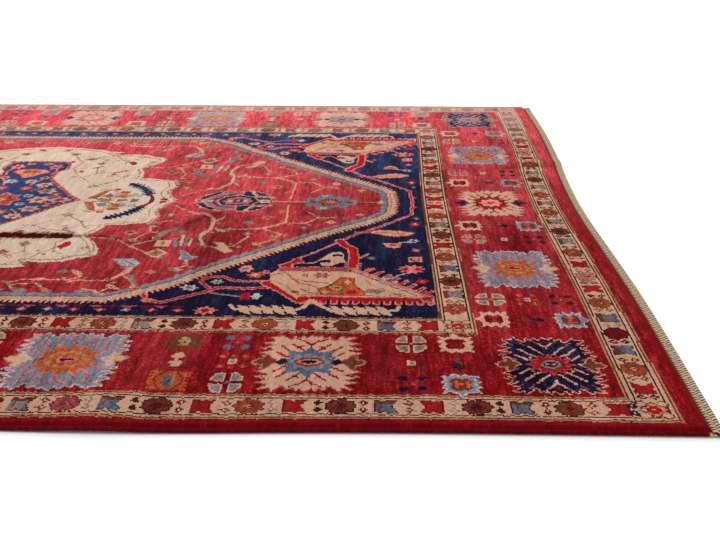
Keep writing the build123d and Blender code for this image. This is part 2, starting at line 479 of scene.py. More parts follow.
def hourglass(pen, ink):
    """Two small three-lobed leaves, tip to tip."""
    pen.fill(ink, spots("-5,4 5,4 11,9 7,13 5,20 -5,20 -7,13 -11,9"), mirror="y").bar(ink, 0, 0, 2, 7)


def eyed_square(pen, ink, eye):
    for y in range(-20, 24, 8):
        pen.bar(ink, 0, y, 26, 2.0)
    pen.bar(ink, 0, 0, 21, 24).line("maroon", spots("8,-22 17,-8 17,8 8,22"), 2.5, "x")
    pen.star("tan", 0, 0, 10, 18, 8, 0.7).bar(eye, 0, 0, 5, 14).bar("umber", 0, 0, 1.5, 4)


ROW_GAP = 57.0  # mm, from one motif of a row to the next, across the border
END_SQUEEZE = 0.88  # the end borders' fillers are a little narrower


def filler_rows(rows, turn):
    """Each row has a place along the border and three motifs across it, from the inside out."""
    centre = MEDALLION_X if turn else MEDALLION_Y
    for along, motifs in rows:
        for offset, (motif, *inks) in zip((-ROW_GAP, 0, ROW_GAP), motifs):
            at = (centre + offset, along) if turn else (along, centre + offset)
            across_scale = (END_SQUEEZE if turn else 1) * (-1 if offset < 0 else 1)
            motif(Pen(*at, turn=turn, flip=(1, across_scale)), *inks)


squares = [(notched_square, "cream", "wine", "red"), (bud, "navy", "brown"),
           (notched_square, "pale", "maroon", "orange")]
crosses = [(cross, "grey", "cream"), (small_square, "maroon"), (dots, "navy")]
long_rows = [
    (896, squares), (830, crosses),
    (568, [(dots, "blue"), (small_square, "orange"), (cross, "pale", "cream")]),
    (490, [(eyed_square, "brown", "tan"), (hourglass, "cream"), (eyed_square, "orange", "blue")]),
    (212, crosses), (132, squares),
]
end_rows = [
    (540, squares), (467, [(cross, "grey", "cream"), (small_square, "orange"), (dots, "umber")]),
    (203, [(cross, "grey", "pink"), (small_square, "maroon"), (dots, "umber")]), (133, squares),
]
filler_rows(long_rows, turn=False)
filler_rows(end_rows, turn=True)
print("main border drawn, with", len(long_rows) + len(end_rows), "rows of fillers in a quarter")

# %% [markdown]
# ### The field
# The red field is a long six-sided shape. Its edge is a band of saw-teeth, peach and blue,
# worked out from the distance to the edge line, so every stripe keeps its width round the bends.

# %% The six-sided red field and its edging
FIELD_EDGE = np.array(spots("""
-60,497 350,497 400,470 450,435 500,378 550,330 600,285 700,190 800,105 826,70 832,0 832,-40
"""))


def edge_distance():
    """The distance of each square to the edge line, and how far along the line its nearest point lies."""
    x, y = chart_x[:, None], chart_y[None, :]
    near, along, done = np.full(chart.shape, np.inf), np.zeros(chart.shape), 0.0
    for a, b in zip(FIELD_EDGE[:-1], FIELD_EDGE[1:]):
        length = np.hypot(*(b - a))
        d = run_distance(x, y, a, b)
        t = np.clip(((x - a[0]) * (b - a)[0] + (y - a[1]) * (b - a)[1]) / length, 0, length)
        along = np.where(d < near, done + t, along)
        near, done = np.minimum(near, d), done + length
    return near, along


def zigzag(pitch):
    """1 at each pitch along the edge and 0 half-way between."""
    return np.abs((along_edge % pitch) / (pitch / 2) - 1.0)


SAW_PITCH, SAW_DEPTH, SAW_RISE = 9.6, 12.0, 0.72  # mm, mm, and the share of a tooth that rises
paper.fill("red", np.vstack([FIELD_EDGE, [(-60, -40)]]))
from_edge, along_edge = edge_distance()
in_field = chart == INK["red"]
in_field[int(FIELD_X / CELL):, :] = False
in_field[:, int(FIELD_Y / CELL):] = False
lean = (along_edge % SAW_PITCH) / SAW_PITCH
tooth = np.where(lean < SAW_RISE, lean / SAW_RISE, (1 - lean) / (1 - SAW_RISE))
EDGING = (
    (43.0 - 5.0 * zigzag(23.0), "pale"), (38.0 - 6.0 * tooth, "grey"), (31.0 - 4.0 * zigzag(8.0), "blue"),
    (25.0, "cream"), (20.0, "tan"), (17.5, "cream"), (14.0, "peach"), (SAW_DEPTH * tooth, "navy"),
)
for limit, ink in EDGING:
    chart[in_field & (from_edge < limit)] = INK[ink]
chart[in_field & (from_edge < SAW_DEPTH * tooth) & (from_edge > SAW_DEPTH * tooth - 2.5)] = INK["wine"]

# %% Vines and flowers on the red
def vine(pen, path, ink="peach", width=4.0):
    """A thin stem with a pair of leaflets at each bend and a bud at its end."""
    pen.line(ink, path, width)
    for k, (x, y) in enumerate(path[1:]):
        leaf = ("tan", "grey", "cream", "olive")[(k + int(x)) % 4]
        pen.diamond(leaf, x + 8, y + 7, 6, 4.5).diamond(leaf, x - 7, y - 7, 5, 4)
    bud_ink = ("cream", "grey", "orange")[int(path[-1][1]) % 3]
    pen.star(bud_ink, *path[-1], 9, 8, 4, 0.6).diamond("brown", *path[-1], 3)


for path in paths("""
600,20 602,125 560,158 480,165; 560,158 600,185 590,215;
400,62 440,82 465,125 462,172 450,205 460,245 500,258; 230,228 300,226 330,252 372,218;
372,218 372,190 398,168; 330,252 372,288 392,300; 345,142 352,180 330,225; 190,404 165,418 190,445;
220,402 262,405 282,390 268,372; 262,405 335,408 352,360 352,330; 352,385 375,415 385,440;
180,425 215,418 240,445; 60,430 105,452 160,440; 640,60 665,95 640,128 602,125; 665,95 705,92;
540,200 520,245 500,258; 590,215 560,238; 440,300 452,338 430,358; 300,440 330,455 345,432; 372,30 400,62;
480,100 465,125; 380,120 352,128 345,142
"""):
    vine(paper, path)
flowers(4, 0.66, """
530,125 12,12 grey pale; 536,185 11,10 grey peach; 565,95 14,12 tan brown; 372,85 13,13 olive cream;
425,80 14,9 tan peach; 245,370 12,10 grey pale; 395,370 11,9 tan olive; 318,188 14,16 tan brown;
214,403 22,6 cream peach; 200,450 15,13 grey tan; 300,450 14,8 grey pale; 60,430 12,10 grey cream;
135,430 13,10 cream tan; 240,445 9,8 tan orange; 590,60 8,10 tan orange; 690,120 11,11 cream grey;
640,150 10,9 grey tan; 745,75 9,9 cream tan; 498,160 8,14 tan peach; 592,200 9,9 tan olive;
395,132 8,8 orange tan; 352,128 9,8 rose peach; 440,360 11,10 grey cream; 560,238 10,9 tan cream
""")
draw(paper, """
line grey 13 372,207 378,188 390,173 402,168 412,180
line pale 5 374,200 382,184 394,172 404,170
bar cream 388,237 13,15
bar tan 388,237 4,8
line pale 8 407,213 413,248
line cream 6 418,197 422,246
line grey 6 428,206 431,240
line cream 5 436,212 438,248
shape olive cream 4.5 385,266 404,284 388,304 367,286
diamond orange 386,285 6,7
shape pale mist 2 426,272 434,272 452,300 463,298 449,319 432,312 434,296
line cream 6.5 440,80 464,118 463,166 451,184 452,214 463,240
shape cream tan 2 478,228 500,230 508,248 523,272 509,281 490,262 493,245
shape mist grey 3 318,314 352,311 369,332 362,349 340,345 326,331
line pale 6 340,322 358,340
line pink 3 334,330 350,344
line cream 7 359,352 355,374 338,396
line grey 9 365,388 376,412
line peach 7.5 556,160 588,138 602,122
""")

# %% The two palmettes on the long axis
draw(Pen(488, 0), """
star rose 0,0 82,72 10 .84 peach 3
shape navy peach 2.5 10,66 40,62 66,38 78,0 66,-38 40,-62 10,-66
shape navy peach 2.5 -84,8 -60,14 -52,30 -30,52 -40,60 -66,34 /y
line pale 9 -60,4 -34,40 -4,58 /y
line navy 4 -46,6 -26,34 0,50 /y
line cream 9 30,58 44,30 76,24 /y
line wine 2.5 34,54 47,29 72,24 /y
shape cream wine 2 42,0 56,-12 74,-9 74,9 56,12
bar scarlet 62,0 5,3
shape cream navy 2.5 -44,-7 -66,-12 -74,0 -66,12 -44,7
bar rose -60,0 6,4
star navy 6,0 44,40 8 .9 peach 3
star rose 6,0 31,28 8 .8 pale 3
star navy 6,0 17,15 6 .55
oval peach 6,0 5,5
bar cream 22,0 4,7
bar cream -10,0 4,7
""")
tulip = spots("""
632,0 635,25 655,27 662,50 684,46 692,30 712,36 722,18 740,6 740,-6 722,-18 712,-36 692,-30 684,-46 662,-50
655,-27 635,-25
""")
paper.shape("pale", tulip, "grey", 3.0)
draw(paper, """
star orange 682,0 24,22 6 .7 wine 2.5
star peach 684,0 11,9 4 .6
bar scarlet 650,0 6,6
bar wine 722,0 8,3
bar cream 672,38 7,4
line tan 5 745,0 780,0
star cream 790,0 11,14 4 .6 tan 2
line peach 4 568,0 632,0
star tan 600,0 8,8 4 .5
""")

# %% [markdown]
# ### The spandrels
# Outside the six-sided field the ground is dark indigo. Each corner holds a large cream
# palmette with stepped edges, stems with flowers, and a row of little stars along the sides.

# %% Stems and hooks of the spandrels
for width, path in zip((7, 5, 9, 8, 5), paths("""
858,0 853,75 800,130 740,185 720,212; 708,228 668,280 645,302;
612,428 560,434 522,430 500,452 470,470 440,490 415,484 405,462;
612,404 545,404 524,386 498,388 488,406 506,432; 740,172 770,174""")):
    paper.line("pink", path, width + 1).line("scarlet", path, width - 4)
draw(paper, """
comb pink 14 9 4 741,318 740,352
line pink 6 748,302 766,282
line pink 20 713,218 723,240 738,258 741,300 740,350
line scarlet 13 713,218 723,240 738,258 741,300 740,350
shape scarlet pink 4 645,301 653,322 636,330 633,352 615,352 613,334 630,320 636,308
line pink 4 654,327 672,327 682,312 692,294
fill cream 682,312 692,290 702,274 718,273 724,286 722,300 728,318 716,324 706,335 691,339 684,331
bar navy 712,289 8,5
bar navy 692,317 9,6
bar navy 728,304 2,4
""")

# %% The large palmette with its crown
draw(paper, """
comb pink 15 19 9 758,352 868,452
comb scarlet 12 19 4.5 758,352 868,452
comb pink 12 17 13 655,474 872,474
comb scarlet 10 17 8 655,473 872,473
line pink 24 598,410 624,434 660,478
line scarlet 16 598,410 624,434 660,478
fill cream 600,370 620,343 738,343 800,398 866,456 874,470 655,472 604,408
line rose 15 618,352 736,350
line brown 2.5 612,361 738,360
line pink 8 738,346 802,402 862,456
line brown 2.5 733,352 797,409 846,455
line scarlet 13 662,470 862,471
line pink 3 662,462 856,462
line brown 2 655,456 848,457
shape scarlet pink 3 852,462 874,456 870,480 856,484
line tan 3 606,400 632,424 660,458
line brown 2.5 628,372 640,396 668,404 700,410
line orange 4.5 640,392 652,412 676,420 694,440
line rose 3.5 655,432 668,446 690,450
line tan 3 764,392 772,412 812,446
line rose 3 600,380 626,366
""")
draw(Pen(722, 426), """
shape orange brown 2.5 -30,30 -36,8 -14,-12 0,-42 22,-38 24,-8 42,20 38,30
star tan -6,2 17,14 6 .7 wine 2
star scarlet 20,18 14,11 6 .6
star peach -24,20 9,8 4 .6
star cream 12,-22 6,10 4 .6
bar umber -6,2 4,2.5
""")
flowers(6, 0.66, """
688,378 16,12 rose grey; 778,438 20,12 grey rose; 660,378 6,8 rose cream; 648,446 9,7 orange wine;
668,436 8,7 tan cream; 816,450 12,6 tan rose
""")

# %% Leaves, small flowers and serrated leaves
draw(Pen(516, 408), """
oval navy 0,0 17,15
star mist 0,0 12,11 6 .6
diamond navy 0,0 3,3
""")
draw(paper, """
line grey 5 514,452 560,466
bar scarlet 570,464 7,13
star mist 588,464 10,14 6 .7
star pink 841,348 27,21 10 .62
diamond scarlet 830,348 7,10
diamond scarlet 852,348 7,10
bar pink 850,304 12,12
bar navy 843,304 2,4
bar navy 857,304 2,4
bar scarlet 850,311 4,2
line mist 4 828,366 798,392
bar mist 796,388 6,5
bar mist 812,402 5,4
shape peach rose 3 762,172 784,160 830,166 854,178 842,190 818,196 788,184
line rose 3 780,173 836,180
line mist 4 824,226 850,220
shape pink peach 2.5 794,229 828,229 824,246 813,251 800,246
bar scarlet 811,237 6,4
""")
flowers(6, 0.68, """
556,352 15,17 pink blue; 576,378 17,14 orange peach; 592,366 8,9 pink scarlet; 474,433 17,13 mist rose;
415,482 13,10 pink orange; 850,218 11,10 mist navy; 858,398 13,12 scarlet orange; 772,300 9,10 blue pale;
770,350 9,9 orange pink; 858,130 12,14 scarlet peach; 854,262 9,9 rose cream; 800,128 9,9 pale rose
""")


def serrated(x_from, x_to):
    """A leaf of slanted lozenges, one each 18 mm, threaded on a stalk."""
    paper.line("cream", [(x_from, 513), (x_to, 513)], 9.0)
    for x in range(x_from, x_to + 1, 18):
        paper.fill("cream", [(x - 13, 496), (x + 4, 504), (x + 13, 531), (x - 4, 524)])


serrated(575, 648)
serrated(722, 800)
draw(paper, """
line cream 7 575,514 559,512 552,499
line cream 7 800,514 814,510 818,498
line cream 8 650,518 666,506 678,476 692,496 716,518
""")
for i, x in enumerate(range(28, 480, 26)):
    paper.fill(("rose", "wine")[i % 2], [(x - 12, 503), (x + 12, 503), (x, 512)])
for i, x in enumerate(range(22, 480, 41)):
    ink, heart = (("grey", "cream"), ("scarlet", "pink"), ("rose", "peach"))[i % 3]
    paper.star(ink, x, 518, 10, 8, 4, 0.6).diamond(heart, x, 518, 4.5)
paper.star("pink", 515, 518, 21, 16.8, 8, 0.6).diamond("scarlet", 515, 518, 9.45)
for i, y in enumerate((30, 98, 440, 478)):
    paper.star(("rose", "grey")[i % 2], 862, y, 8, 8, 4, 0.5)

# %% [markdown]
# ### The medallion
# A cream medallion with stepped, feathered lobes fills the middle of the field, and a dark
# indigo one lies inside it. Both are symmetrical, so a quarter outline is enough for each.

# %% The cream medallion
CREAM_LOBES = whole(spots("""
362,0 342,30 335,60 345,100 335,130 305,140 290,145 258,150 262,162 256,190 244,218 256,236 268,250 280,274
284,294 276,306 252,313 232,328 190,332 166,327 156,334 174,352 135,357 112,372 60,384 0,394
"""))
draw(paper, """
comb ivory 7 8 3.5 362,0 342,30 335,60 345,100 335,130 /xy
""")
paper.fill("ivory", CREAM_LOBES).line("tan", CREAM_LOBES * 0.965, 2.5, closed=True)
flowers(4, 0.6, """
168,90 15,12 tan ivory; 112,196 12,11 pink brown; 140,256 13,12 grey rose; 110,290 15,12 rose orange;
60,330 14,12 grey wine; 190,176 8,13 orange tan; 205,195 8,8 pink brown; 30,365 10,8 rose wine;
70,268 12,10 pink wine
""")
for path in paths("""
120,150 150,180 140,226; 150,180 205,195; 140,250 150,290 120,300; 80,290 60,330 30,362;
212,262 180,290 160,330; 168,90 200,120 225,165
"""):
    vine(paper, path, "tan", 3.0)
draw(paper, """
comb navy 11.5 10 6 250,107 276,86 292,66 303,36
line navy 14 250,107 276,86 292,66 303,36
line maroon 8.5 303,38 311,24 316,8 316,-8
shape scarlet brown 2.5 204,266 214,250 222,246 222,262 212,274
""")
for x, y in spots("256,272 228,305 108,155 160,200 130,310 186,160"):
    paper.star("tan", x, y, 9, 8, 4, 0.6).oval("ivory", x, y, 3.5)
draw(paper, """
fill orange 178,12 196,8 206,34 216,64 203,62 190,38
fill tan 184,22 192,22 204,50 197,50
fill peach 226,22 262,14 272,28 248,42 232,38
fill orange 238,26 254,21 258,30 244,35
fill grey 205,22 224,14 230,34 218,44
fill mist 258,38 286,20 292,34 270,50
fill orange 234,48 256,42 262,56 242,62
fill tan 204,-6 228,-9 236,0 228,9 204,6
fill orange 210,0 220,-4 228,0 220,4
fill grey 244,-8 266,-5 266,5 244,8
fill rose 218,66 232,62 236,74 222,78
fill olive 274,-12 288,-8 288,8 274,12
line tan 4 192,66 210,70 232,54
line blue 4 198,8 226,12 240,20
line brown 2.5 226,44 246,40 268,32
star scarlet 340,8 10,8 6 .7
""")
for lobe in paths("""
276,298 252,302 226,318 190,322 160,316 142,334 110,360 60,374; 228,222 250,246 262,268 270,292;
250,156 250,186 238,214; 212,232 196,252 200,284 222,296; 246,150 206,158 190,186 214,212;
330,136 286,128 262,140; 150,120 110,170 86,220 96,268 70,300
"""):
    paper.line("tan", lobe, 2.5)

# %% Its dark centre
NAVY_LOBES = whole(spots("""
165,0 140,25 100,85 75,120 60,145 57,150 60,200 75,215 72,240 65,262 50,268 0,270
"""))
paper.shape("indigo", NAVY_LOBES, "rose", 7.0).line("scarlet", NAVY_LOBES, 2.5, closed=True)
paper.comb("peach", NAVY_LOBES, 4.5, 13.0, 3.0).fill("indigo", NAVY_LOBES * 0.95)
draw(paper, """
star rose 0,0 44,46 8 .7 peach 3
star orange 0,0 28,28 6 .66 wine 2.5
star cream 0,0 13,11 4 .6
bar wine 0,0 4,3
""")
flowers(6, 0.62, """
124,2 28,17 peach scarlet; 80,0 26,25 cream rose; 80,56 24,21 peach blue; 60,100 21,18 cream orange;
44,228 18,20 pink scarlet; 28,76 17,17 rose peach; 22,122 17,16 mist rose; 44,148 13,12 peach wine;
50,26 13,12 mist indigo; 20,250 14,9 peach orange; 106,36 12,11 orange cream
""", share=0.42)
for path in paths("96,14 110,26 122,18; 44,60 60,78 62,92; 30,98 36,122 44,140; 50,170 56,196 48,216"):
    paper.line("pink", path, 4.0)
draw(paper, """
shape peach scarlet 3 0,212 34,205 42,190 24,172 10,150 -2,146
diamond orange 8,190 14,14
""")
print("field drawn; squares of each yarn:", dict(zip(YARNS, np.bincount(chart.ravel()).tolist())))

# %% [markdown]
# ## The lie of the rug
# A rug that has been rolled or folded for storage never lies quite flat. A fold line is left
# across the middle, soft creases run from it, and the long edges ride up in low waves. One
# height function moves every piece alike: it is a sum of soft ridges, each a bell-shaped rise
# about a line, so the pieces stay together. The ends are also drawn in a little where the weft
# was beaten tighter, so their edges are not quite straight.

# %% Height of the underside above the floor
rng = np.random.default_rng(11)


def smooth_noise(x, y, size_x, size_y, generator=None):
    """Values from -1 to 1 that change softly: random numbers on a lattice, blended with a smooth step."""
    generator = generator or rng
    u, v = (x + 1400.0) / size_x, (y + 1000.0) / size_y
    lattice = generator.uniform(-1, 1, (int(2900 / size_x) + 3, int(2100 / size_y) + 3))
    i, j = np.floor(u).astype(int), np.floor(v).astype(int)
    fu, fv = u - i, v - j
    fu, fv = fu * fu * (3 - 2 * fu), fv * fv * (3 - 2 * fv)
    low = lattice[i, j] * (1 - fu) + lattice[i + 1, j] * fu
    high = lattice[i, j + 1] * (1 - fu) + lattice[i + 1, j + 1] * fu
    return low * (1 - fv) + high * fv


def ridge(x, y, path, height, width):
    """A soft rise along a broken line: the height times the bell curve of the distance over the width."""
    near = np.full(np.broadcast(x, y).shape, np.inf)
    path = np.asarray(path, float)
    for a, b in zip(path[:-1], path[1:]):
        near = np.minimum(near, run_distance(x, y, a, b))
    return height * np.exp(-(near / width) ** 2)


RIDGES = (  # height and width in mm, and the line: the fold's swell and the cut in it, then creases and edge waves
    (7.0, 58.0, "-330,-214 60,-216 250,-218"), (-3.0, 9.0, "-300,-221 60,-222 215,-223"),
    (3.5, 26.0, "425,-130 505,-35"), (2.0, 20.0, "360,-200 440,-150"), (2.5, 30.0, "470,140 520,330"),
    (4.5, 26.0, "930,250 1230,300"), (5.0, 62.0, "428,-792 450,-700"), (4.0, 110.0, "-500,-900 -480,-780"),
    (3.5, 70.0, "-1240,200 -1120,150"),
)
MOST_LIFT = 8.5  # mm


def lift(x, y):
    """The underside's height in mm: the ridges and a faint unevenness, never under zero."""
    h = 0.0
    for height, width, line in RIDGES:
        h = h + ridge(x, y, spots(line), height, width)
    h = h + 0.45 * (1 + smooth_noise(x, y, 210, 180, np.random.default_rng(3)))
    return np.minimum(np.maximum(h, 0.0), MOST_LIFT)


def bell(v, middle, width):
    return np.exp(-((v - middle) / width) ** 2)


def draw_in(x, y):
    """How far the ends are pulled in along X, in mm: bell curves along the end, fading out some way inside."""
    right = 0.35 * np.clip((x - 760.0) / 120.0, 0, 1) + 0.65 * np.clip((x - 960.0) / 255.0, 0, 1) ** 1.3
    left = np.clip((-x - 840.0) / 375.0, 0, 1) ** 1.5
    bow = 18.5 * bell(y, 20.0, 330.0) + 5.0 * bell(y, 850.0, 200.0)
    return 9.0 * bell(y, -240.0, 330.0) * left - bow * right


def let_out(x, y):
    """How far the near side swells along Y, in mm: a bell curve that fades out a fifth of a metre inside."""
    return -8.0 * bell(x, 440.0, 230.0) * np.clip((-y - 640.0) / 200.0, 0, 1) ** 1.5


def laid(points):
    """Moves points of the flat rug to where they lie: along X by draw_in, along Y by let_out and up by lift."""
    x, y = points[:, 0], points[:, 1]
    return points + np.stack([draw_in(x, y), let_out(x, y), lift(x, y)], axis=1)


# %% [markdown]
# ## The knots
# The pile is one grid of knots, about two and a half millimetres apart. Each corner of the grid
# is nudged a little, because no knot sits quite true, and the outer rim is rounded off as
# clipped pile is. Each face is one knot and takes its yarn's colour from the chart. Where the
# chart is read wanders by a millimetre or two, as the weaver's count does, and along one side of
# the main border by up to 14.

# %% Knot grid, heights and colours
KNOT = 2.5
across = int(round(2 * pile_x / KNOT)), int(round(2 * pile_y / KNOT))
line_x = np.linspace(-pile_x, pile_x, across[0] + 1)
line_y = np.linspace(-pile_y, pile_y, across[1] + 1)
corner_x, corner_y = np.meshgrid(line_x, line_y, indexing="ij")
centre_x, centre_y = np.meshgrid((line_x[1:] + line_x[:-1]) / 2, (line_y[1:] + line_y[:-1]) / 2, indexing="ij")
RIM = 4.5  # mm, radius of the clipped rim


def rim_drop(x, y):
    """How far the rounded rim lies under the top: R - sqrt(R² - (R - d)²), d being the distance to the edge."""
    d = np.minimum(pile_x - np.abs(x), pile_y - np.abs(y))
    return RIM - np.sqrt(RIM**2 - np.clip(RIM - d, 0, RIM) ** 2)


top_z = pile_top - rim_drop(corner_x, corner_y)
UNEVEN, ROW_WAVE, NUDGE = 0.16, 0.14, 0.4  # mm: of a knot's height, of a row's height, and of its place
top_z += rng.normal(0, UNEVEN, corner_x.shape) + ROW_WAVE * smooth_noise(corner_x, corner_y, 4, 60)
nudge_x, nudge_y = rng.uniform(-NUDGE, NUDGE, (2, *corner_x.shape))
on_edge = (np.abs(corner_x) > pile_x - 0.1) | (np.abs(corner_y) > pile_y - 0.1)
move_x, move_y = [np.where(on_edge, nudge * 0.5, nudge) for nudge in (nudge_x, nudge_y)]

wander_x = 1.3 * smooth_noise(centre_x, centre_y, 120, 90) + 0.3 * smooth_noise(centre_x, centre_y, 14, 400)
wander_y = 1.3 * smooth_noise(centre_x, centre_y, 90, 120) + 1.9 * smooth_noise(centre_x, centre_y, 3.4, 40)
in_main = (centre_y > -OUTER_Y) & (centre_y < -MAIN_Y)
wander_x -= 14.0 * bell(centre_x, 525.0, 230.0) * in_main
read_x = np.clip((np.abs(centre_x + wander_x) / CELL).astype(int), 0, chart.shape[0] - 1)
read_y = np.clip((np.abs(centre_y + wander_y) / CELL).astype(int), 0, chart.shape[1] - 1)
knots = chart[read_x, read_y]

# %% [markdown]
# Hand-dyed wool is never even. Each new batch shows as a stripe across the rug, which weavers
# call abrash, and single rows and knots differ a little too. The stripes follow the rows of
# knots, so they run across the width.

# %% Dye variation and patches of painted shade
abrash = 0.10 * smooth_noise(centre_x, centre_y, 65, 1500) + 0.10 * smooth_noise(centre_x, centre_y, 12, 260)
abrash += 0.30 * smooth_noise(centre_x, centre_y, KNOT * 1.2, 26)
# Soft lighter and darker patches: partly uneven dye and partly painted shade of pile pressed different ways.
shade_and_dye_patches = 0.13 * smooth_noise(centre_x, centre_y, 22, 30) + 0.12 * smooth_noise(centre_x, centre_y, 70, 110)
speckle = np.where(np.isin(knots, [INK["cream"], INK["ivory"]]), 0.07, 0.17)
shade = 1.0 + (abrash + shade_and_dye_patches) * speckle / 0.17 + rng.normal(0, 1, knots.shape) * speckle
from_rim = np.minimum(pile_x - np.abs(centre_x), pile_y - np.abs(centre_y))
shade = np.clip(1.0 + (shade - 1.0) * np.clip(0.35 + from_rim / 30.0, 0, 1), 0.4, 1.8)  # the rim is rubbed even
knot_colour = DYES[knots] * shade[..., None]

# %% [markdown]
# The far side of the rug is painted lighter and pinker than the deep crimson of the near side, as painted sheen
# of pile seen at a grazing angle, less towards the right end, and the change is gradual.

# %% Painted sheen on the far side
sheen_share = np.clip((centre_y + pile_y) / (2 * pile_y), 0, 1)
sheen_share += 0.16 * smooth_noise(centre_x, centre_y, 30, 260) - 0.24 * np.clip(centre_x / pile_x, 0, 1)
sheen_share = np.clip(sheen_share, 0, 1)[..., None]
SHEEN_RAMPS = (  # the yarn, its near colour and its colour under the painted far-side sheen, how the change bends, and the painted highlight on its lightest knots, linear
    ("red", (0.160, 0.0025, 0.005), (0.55, 0.070, 0.081), 1.0, (0.13, 0.035, 0.045)),
    ("navy", (0.0052, 0.0030, 0.018), (0.040, 0.062, 0.150), 2.0, (0.03, 0.04, 0.07)),
)
SHEEN_HAZE = np.array([0.56, 0.38, 0.33])  # linear; the painted sheen haze that the other yarns are mixed towards on the far side


def of_yarn(*names):
    return np.isin(knots, [INK[name] for name in names])[..., None]


# A painted highlight: the lightest red knots get a pinkish glint added and the lightest navy knots a bluish one.
highlight_share = np.clip(shade - 1.12, 0, 1)[..., None]
for name, deep, light, bend, knot_highlight in SHEEN_RAMPS:
    mix = np.array(deep) + (np.array(light) - deep) * sheen_share**bend
    knot_colour = np.where(of_yarn(name), mix * shade[..., None] ** 1.4 + highlight_share * knot_highlight, knot_colour)
# More painted sheen: creams and pinks are darker near and lighter far, and the other yarns are hazed towards pale rose
# on the far side.
knot_colour = np.where(of_yarn("cream", "ivory"), knot_colour * (0.90 + 0.26 * sheen_share), knot_colour)
far_sheen_haze = 0.42 * np.clip((centre_y - 430.0) / 330.0, 0, 1)[..., None] * ~of_yarn("red", "navy")
knot_colour = knot_colour * (1 - far_sheen_haze) + SHEEN_HAZE * far_sheen_haze
knot_colour = np.where(of_yarn("scarlet", "rose", "pink"), knot_colour * (0.8 + 0.5 * sheen_share), knot_colour)

# %% [markdown]
# The knots along the fold and the creases are painted darker, as painted shade where the pile dips and opens,
# most of all on the line of the fold.

# %% Painted shade in the fold and creases
fringe = 5.0 * smooth_noise(centre_x, centre_y, 4.0, 60)


CREASE_SHADES = (  # how dark the painted shade is, the width in mm, and the line; the fold comes first
    (1.9, 13.0, "-300,-216 60,-218 202,-220"), (0.85, 6.5, "190,-221 300,-223"),
    (0.75, 15.0, "408,-164 432,-122 462,-84"), (0.2, 24.0, "330,-245 300,-330"), (0.45, 13.0, "474,-232 468,-290"),
    (0.35, 13.0, "905,210 1185,262"), (0.22, 30.0, "500,-860 512,-700"), (0.22, 22.0, "570,-40 640,-20"),
)
crease_shade = 0.0
for depth, width, line in CREASE_SHADES:
    broken = 0.8 + 0.4 * smooth_noise(centre_x, centre_y, 9, 6)
    crease_shade = crease_shade + ridge(centre_x, centre_y + fringe, spots(line), depth, width) * broken
crease_shade = np.clip(crease_shade, 0, 1)[..., None]
# The painted shade mixes the knots towards a near-black red.
CREASE_SHADE_COLOUR = np.array([0.050, 0.0015, 0.0025])
knot_colour = np.clip(knot_colour * (1 - crease_shade) + CREASE_SHADE_COLOUR * crease_shade, 0, 1)
print("knots:", knots.size)

# %% [markdown]
# ## Materials
# Clipped wool is matt, and bound or spun yarn has a faint sheen. The yarns' colours come from an
# attribute on the mesh, and one small noise adds the fibre: it shades the yarn and roughens it
# as a bump.

# %% Wool and cotton materials
def set_inputs(node, **values):
    """Sets sockets by name, with an underscore for each space."""
    for name, value in values.items():
        node.inputs[name.replace("_", " ")].default_value = value


def yarn_material(name, fibre_scale, bump, sheen, roughness):
    material = bpy.data.materials.new(name)
    material.use_nodes = True
    nodes, links = material.node_tree.nodes, material.node_tree.links
    shader = nodes["Principled BSDF"]
    set_inputs(shader, Roughness=roughness, Specular_IOR_Level=0.03, Sheen_Weight=sheen, Sheen_Roughness=0.45,
               Sheen_Tint=(1.0, 0.86, 0.84, 1.0))
    colour = nodes.new("ShaderNodeAttribute")
    colour.attribute_name = "yarn"
    where = nodes.new("ShaderNodeTexCoord")
    fibre = nodes.new("ShaderNodeTexNoise")
    set_inputs(fibre, Scale=fibre_scale, Detail=2.0)
    levels = nodes.new("ShaderNodeMapRange")
    set_inputs(levels, From_Min=0.3, From_Max=0.7, To_Min=0.78, To_Max=1.16)
    shaded = nodes.new("ShaderNodeVectorMath")
    shaded.operation = "SCALE"
    relief = nodes.new("ShaderNodeBump")
    set_inputs(relief, Strength=bump, Distance=0.001)
    for out_node, out_name, in_node, in_name in (
        (where, "Object", fibre, "Vector"), (fibre, "Fac", levels, "Value"), (colour, "Color", shaded, 0),
        (levels, "Result", shaded, "Scale"), (shaded, "Vector", shader, "Base Color"),
        (fibre, "Fac", relief, "Height"), (relief, "Normal", shader, "Normal"),
    ):
        links.new(out_node.outputs[out_name], in_node.inputs[in_name])
    return material


pile_wool = yarn_material("pile_wool", 620.0, 0.5, 0.0, 1.0)
cotton = yarn_material("cotton_yarn", 900.0, 0.35, 0.05, 0.85)
binding_wool = yarn_material("binding_wool", 700.0, 0.45, 0.05, 0.9)

